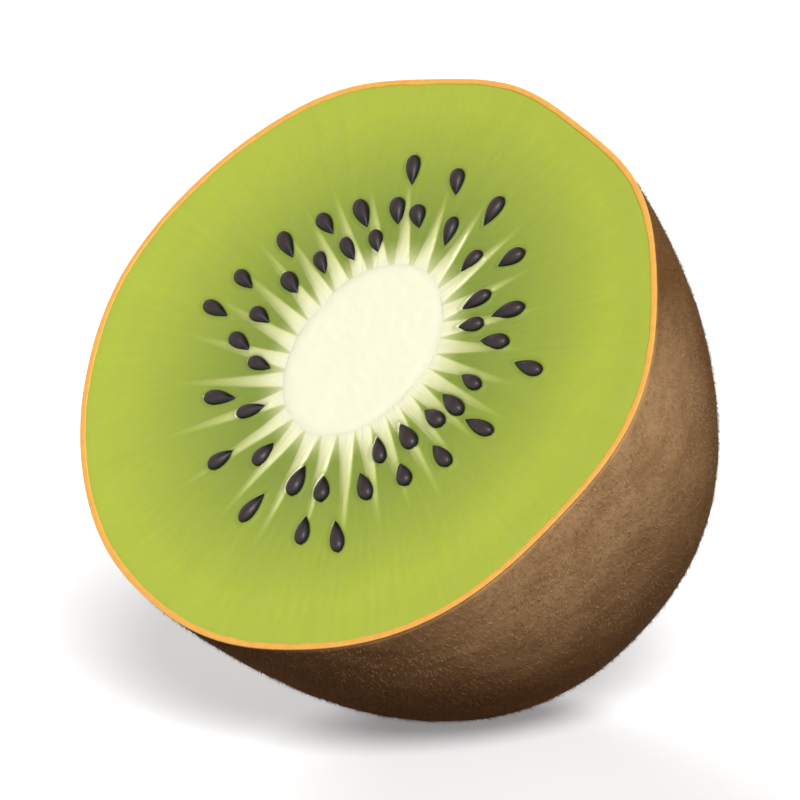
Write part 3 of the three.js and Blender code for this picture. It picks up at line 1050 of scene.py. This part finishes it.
def add_camera():
    """The camera, at the viewing angle of the cut face."""
    data = bpy.data.cameras.new("camera")
    data.lens = VIEW_LENS
    data.sensor_width = 36.0
    camera = bpy.data.objects.new("camera", data)
    bpy.context.scene.collection.objects.link(camera)
    back = heading(VIEW_AZIMUTH, VIEW_ELEVATION)
    right = heading(VIEW_AZIMUTH + 90, 0)
    up = back.cross(right)
    offset = back * VIEW_DISTANCE + right * VIEW_RIGHT + up * VIEW_UP
    camera.location = POSE.translation + offset * MM  # from the middle of the cut face
    camera.rotation_mode = "QUATERNION"
    camera.rotation_quaternion = (-back).to_track_quat("-Z", "Y")
    data.clip_start, data.clip_end = 0.01, 20.0
    bpy.context.scene.camera = camera


def add_air(above, below):
    """Even light from above the ground, and a warmer one from below."""
    world = bpy.data.worlds.new("air")
    world.use_nodes = True
    nodes, links = world.node_tree.nodes, world.node_tree.links
    way = nodes.new("ShaderNodeTexCoord")
    split = nodes.new("ShaderNodeSeparateXYZ")
    blend = nodes.new("ShaderNodeMapRange")
    blend.data_type = "FLOAT_VECTOR"
    blend.interpolation_type = "SMOOTHSTEP"
    settings = {"From_Min_FLOAT3": (-0.3,) * 3, "From_Max_FLOAT3": (0.3,) * 3}  # about level
    settings |= {"To_Min_FLOAT3": below, "To_Max_FLOAT3": above}
    sockets = {socket.identifier: socket for socket in blend.inputs}
    for name, value in settings.items():
        sockets[name].default_value = value
    links.new(way.outputs["Generated"], split.inputs[0])
    links.new(split.outputs["Z"], sockets["Vector"])
    links.new(blend.outputs["Vector"], nodes["Background"].inputs["Color"])
    bpy.context.scene.world = world


# ---- operators ----


class KiwiStage(bpy.types.Operator):
    """Add the floor, the lights and the camera."""

    bl_idname = "kiwi.stage"
    bl_label = "Stage"

    def execute(self, context):
        context.scene.view_settings.view_transform = "Standard"
        context.scene.view_settings.look = "None"
        add_floor()
        add_air(above=(0.055, 0.048, 0.038), below=(0.045, 0.021, 0.01))
        add_lamp("key", azimuth=38, elevation=36, brightness=1.085, softness=25)
        add_lamp("side", azimuth=72, elevation=12, brightness=0.13, softness=40)
        add_lamp("back", azimuth=228, elevation=20, brightness=0.85, softness=30)
        add_camera()
        return {"FINISHED"}


class KiwiSkin(bpy.types.Operator):
    """Add the brown skin, its cut edge and the blossom end."""

    bl_idname = "kiwi.skin"
    bl_label = "Skin"

    def execute(self, context):
        sizes, colours = context.scene.kiwi_sizes, context.scene.kiwi_colours
        skin_piece(sizes, colours)
        edge_piece(sizes, colours)
        blossom_piece(colours)
        return {"FINISHED"}


class KiwiFuzz(bpy.types.Operator):
    """Add the short hairs on the skin."""

    bl_idname = "kiwi.fuzz"
    bl_label = "Fuzz"

    def execute(self, context):
        fuzz_piece(context.scene.kiwi_sizes, context.scene.kiwi_colours)
        return {"FINISHED"}


class KiwiFlesh(bpy.types.Operator):
    """Add the green flesh with its rays and seed pockets."""

    bl_idname = "kiwi.flesh"
    bl_label = "Flesh"

    def execute(self, context):
        flesh_piece(context.scene.kiwi_sizes, context.scene.kiwi_colours)
        return {"FINISHED"}


class KiwiCore(bpy.types.Operator):
    """Add the pale core."""

    bl_idname = "kiwi.core"
    bl_label = "Core"

    def execute(self, context):
        core_piece(context.scene.kiwi_colours)
        return {"FINISHED"}


class KiwiSeeds(bpy.types.Operator):
    """Add the seeds."""

    bl_idname = "kiwi.seeds"
    bl_label = "Seeds"

    def execute(self, context):
        seed_piece(context.scene.kiwi_colours)
        return {"FINISHED"}


STEPS = (KiwiStage, KiwiSkin, KiwiFuzz, KiwiFlesh, KiwiCore, KiwiSeeds)


class KiwiPanel(bpy.types.Panel):
    """Lists the steps that build the fruit."""

    bl_idname = "VIEW3D_PT_kiwi"
    bl_label = "Kiwi fruit half"
    bl_space_type = "VIEW_3D"
    bl_region_type = "UI"
    bl_category = "Kiwi"

    def draw(self, context):
        for step in STEPS:
            self.layout.operator(step.bl_idname)
        for group in (context.scene.kiwi_sizes, context.scene.kiwi_colours):
            for key in group.__annotations__:
                self.layout.prop(group, key)


CLASSES = (KiwiSizes, KiwiColours, *STEPS, KiwiPanel)


def register():
    for made in CLASSES:
        bpy.utils.register_class(made)
    bpy.types.Scene.kiwi_sizes = PointerProperty(type=KiwiSizes)
    bpy.types.Scene.kiwi_colours = PointerProperty(type=KiwiColours)


def unregister():
    del bpy.types.Scene.kiwi_colours
    del bpy.types.Scene.kiwi_sizes
    for made in reversed(CLASSES):
        bpy.utils.unregister_class(made)


def main():
    register()
    for step in STEPS:
        family, name = step.bl_idname.split(".")
        getattr(getattr(bpy.ops, family), name)()


if __name__ == "__main__":
    main()
